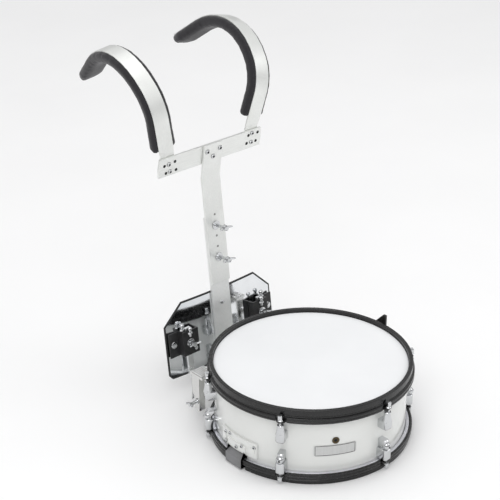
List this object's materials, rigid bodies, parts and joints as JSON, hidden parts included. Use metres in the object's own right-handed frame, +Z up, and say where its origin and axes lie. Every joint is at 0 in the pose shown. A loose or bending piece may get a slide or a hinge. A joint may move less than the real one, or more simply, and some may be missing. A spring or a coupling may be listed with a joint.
{
  "type": "marching snare drum with shoulder carrier",
  "caption": "Shallow white marching snare drum with black hoops and chrome tube lugs, clamped to a height-adjustable shoulder carrier with padded straps and a mirrored belly plate.",
  "frame": {"origin": "centre of the top of the batter head's film", "axes": "+Z up, out of the playing face; -Y towards the audience; +Y towards the wearer; +X towards the wearer's left, where the strainer is"},
  "size_m": [0.3666, 0.6818, 0.6339],
  "materials": {
    "shell_white": "gloss white lacquer",
    "head_film": "matte coated film",
    "hoop_black": "satin black coating",
    "chrome": "polished chrome plate",
    "steel": "bright steel",
    "aluminium": "satin silver",
    "plate_mirror": "polished",
    "pad_black": "matte foam",
    "vent_bronze": "dark bronze",
    "strap_grey": "semi-gloss plastic strap",
    "metal_black": "satin black paint"
  },
  "bodies": {
    "drum": {"shell": "shell_white", "batter_head": "head_film", "snare_head": "head_film", "top_hoop": "hoop_black", "bottom_hoop": "hoop_black", "upper_lug_1": "chrome", "upper_lug_2": "chrome", "upper_lug_3": "chrome", "upper_lug_4": "chrome", "upper_lug_5": "chrome", "upper_lug_6": "chrome", "lower_lug_1": "chrome", "lower_lug_2": "chrome", "lower_lug_3": "chrome", "lower_lug_4": "chrome", "lower_lug_5": "chrome", "lower_lug_6": "chrome", "badge_plate": "steel", "vent_grommet": "vent_bronze", "butt_strap": "strap_grey", "butt_plate": "chrome", "strainer_body": "metal_black", "j_bar_left": "steel", "j_bar_right": "steel", "hoop_clamp_left": "chrome", "hoop_clamp_right": "chrome"},
    "snares": {"snare_wires": "steel", "strainer_strap": "strap_grey", "strap_clamp": "chrome"},
    "knob": {"tension_knob": "metal_black"},
    "lever": {"strainer_lever": "metal_black"},
    "carrier": {"lower_stem": "aluminium", "belly_plate": "plate_mirror", "belly_pad": "pad_black", "bracket_left": "metal_black", "bracket_right": "metal_black"},
    "harness": {"upper_stem": "aluminium", "crossbar": "aluminium", "shoulder_strip_left": "aluminium", "shoulder_strip_right": "aluminium", "shoulder_pad_left": "pad_black", "shoulder_pad_right": "pad_black"},
    "stem_screw_1": {"stem_wing_screw_1": "chrome"},
    "stem_screw_2": {"stem_wing_screw_2": "chrome"},
    "bracket_screw_left": {"bracket_wing_screw_left": "chrome"},
    "clamp_screw_left": {"clamp_wing_screw_left": "chrome"},
    "bracket_screw_right": {"bracket_wing_screw_right": "chrome"},
    "clamp_screw_right": {"clamp_wing_screw_right": "chrome"},
    "upper_rod_1": {"upper_tension_rod_1": "chrome"},
    "upper_rod_2": {"upper_tension_rod_2": "chrome"},
    "upper_rod_3": {"upper_tension_rod_3": "chrome"},
    "upper_rod_4": {"upper_tension_rod_4": "chrome"},
    "upper_rod_5": {"upper_tension_rod_5": "chrome"},
    "upper_rod_6": {"upper_tension_rod_6": "chrome"},
    "lower_rod_1": {"lower_tension_rod_1": "chrome"},
    "lower_rod_2": {"lower_tension_rod_2": "chrome"},
    "lower_rod_3": {"lower_tension_rod_3": "chrome"},
    "lower_rod_4": {"lower_tension_rod_4": "chrome"},
    "lower_rod_5": {"lower_tension_rod_5": "chrome"},
    "lower_rod_6": {"lower_tension_rod_6": "chrome"}
  },
  "joints": [
    {"name": "carrier_height", "type": "slide", "parent": "drum", "child": "carrier", "axis": [0, 0.1162, 0.9932], "range_m": [0, 0.03]},
    {"name": "stem_height", "type": "slide", "parent": "carrier", "child": "harness", "axis": [0, 0.1162, 0.9932], "range_m": [-0.035, 0.0075]},
    {"name": "lever_throw", "type": "hinge", "parent": "drum", "child": "lever", "pos_m": [0.182, 0, -0.0607], "axis": [0, 1, 0], "range_deg": [0, 100]},
    {"name": "snare_drop", "type": "hinge", "parent": "drum", "child": "snares", "pos_m": [-0.143, 0, -0.1298], "axis": [0, 1, 0], "range_deg": [0, 0.5]},
    {"name": "knob_turn", "type": "hinge", "parent": "snares", "child": "knob", "pos_m": [0.1782, 0, -0.09], "axis": [0, 0, 1], "continuous": true},
    {"name": "stem_screw_1_turn", "type": "hinge", "parent": "harness", "child": "stem_screw_1", "pos_m": [0, 0.24208, 0.16889], "axis": [0, -0.9932, 0.1162], "continuous": true},
    {"name": "stem_screw_2_turn", "type": "hinge", "parent": "harness", "child": "stem_screw_2", "pos_m": [0, 0.23511, 0.1093], "axis": [0, -0.9932, 0.1162], "continuous": true},
    {"name": "bracket_screw_left_turn", "type": "hinge", "parent": "carrier", "child": "bracket_screw_left", "pos_m": [0.086, 0.21654, -0.02546], "axis": [0, -0.9932, 0.1162], "continuous": true},
    {"name": "clamp_screw_left_turn", "type": "hinge", "parent": "drum", "child": "clamp_screw_left", "pos_m": [0.1433, 0.13294, -0.0847], "axis": [1, 0, 0], "continuous": true},
    {"name": "bracket_screw_right_turn", "type": "hinge", "parent": "carrier", "child": "bracket_screw_right", "pos_m": [-0.086, 0.21654, -0.02546], "axis": [0, -0.9932, 0.1162], "continuous": true},
    {"name": "clamp_screw_right_turn", "type": "hinge", "parent": "drum", "child": "clamp_screw_right", "pos_m": [-0.1433, 0.13294, -0.0847], "axis": [-1, 0, 0], "continuous": true},
    {"name": "upper_rod_1_turn", "type": "hinge", "parent": "drum", "child": "upper_rod_1", "pos_m": [0, -0.1795, -0.02], "axis": [0, 0, 1], "continuous": true},
    {"name": "upper_rod_2_turn", "type": "hinge", "parent": "drum", "child": "upper_rod_2", "pos_m": [0.15545, -0.08975, -0.02], "axis": [0, 0, 1], "continuous": true},
    {"name": "upper_rod_3_turn", "type": "hinge", "parent": "drum", "child": "upper_rod_3", "pos_m": [0.15545, 0.08975, -0.02], "axis": [0, 0, 1], "continuous": true},
    {"name": "upper_rod_4_turn", "type": "hinge", "parent": "drum", "child": "upper_rod_4", "pos_m": [0, 0.1795, -0.02], "axis": [0, 0, 1], "continuous": true},
    {"name": "upper_rod_5_turn", "type": "hinge", "parent": "drum", "child": "upper_rod_5", "pos_m": [-0.15545, 0.08975, -0.02], "axis": [0, 0, 1], "continuous": true},
    {"name": "upper_rod_6_turn", "type": "hinge", "parent": "drum", "child": "upper_rod_6", "pos_m": [-0.15545, -0.08975, -0.02], "axis": [0, 0, 1], "continuous": true},
    {"name": "lower_rod_1_turn", "type": "hinge", "parent": "drum", "child": "lower_rod_1", "pos_m": [0, -0.1795, -0.12], "axis": [0, 0, 1], "continuous": true},
    {"name": "lower_rod_2_turn", "type": "hinge", "parent": "drum", "child": "lower_rod_2", "pos_m": [0.15545, -0.08975, -0.12], "axis": [0, 0, 1], "continuous": true},
    {"name": "lower_rod_3_turn", "type": "hinge", "parent": "drum", "child": "lower_rod_3", "pos_m": [0.15545, 0.08975, -0.12], "axis": [0, 0, 1], "continuous": true},
    {"name": "lower_rod_4_turn", "type": "hinge", "parent": "drum", "child": "lower_rod_4", "pos_m": [0, 0.1795, -0.12], "axis": [0, 0, 1], "continuous": true},
    {"name": "lower_rod_5_turn", "type": "hinge", "parent": "drum", "child": "lower_rod_5", "pos_m": [-0.15545, 0.08975, -0.12], "axis": [0, 0, 1], "continuous": true},
    {"name": "lower_rod_6_turn", "type": "hinge", "parent": "drum", "child": "lower_rod_6", "pos_m": [-0.15545, -0.08975, -0.12], "axis": [0, 0, 1], "continuous": true}
  ],
  "couplings": [
    {"joint": "snare_drop", "follows": "lever_throw", "ratio": 0.0045}
  ]
}
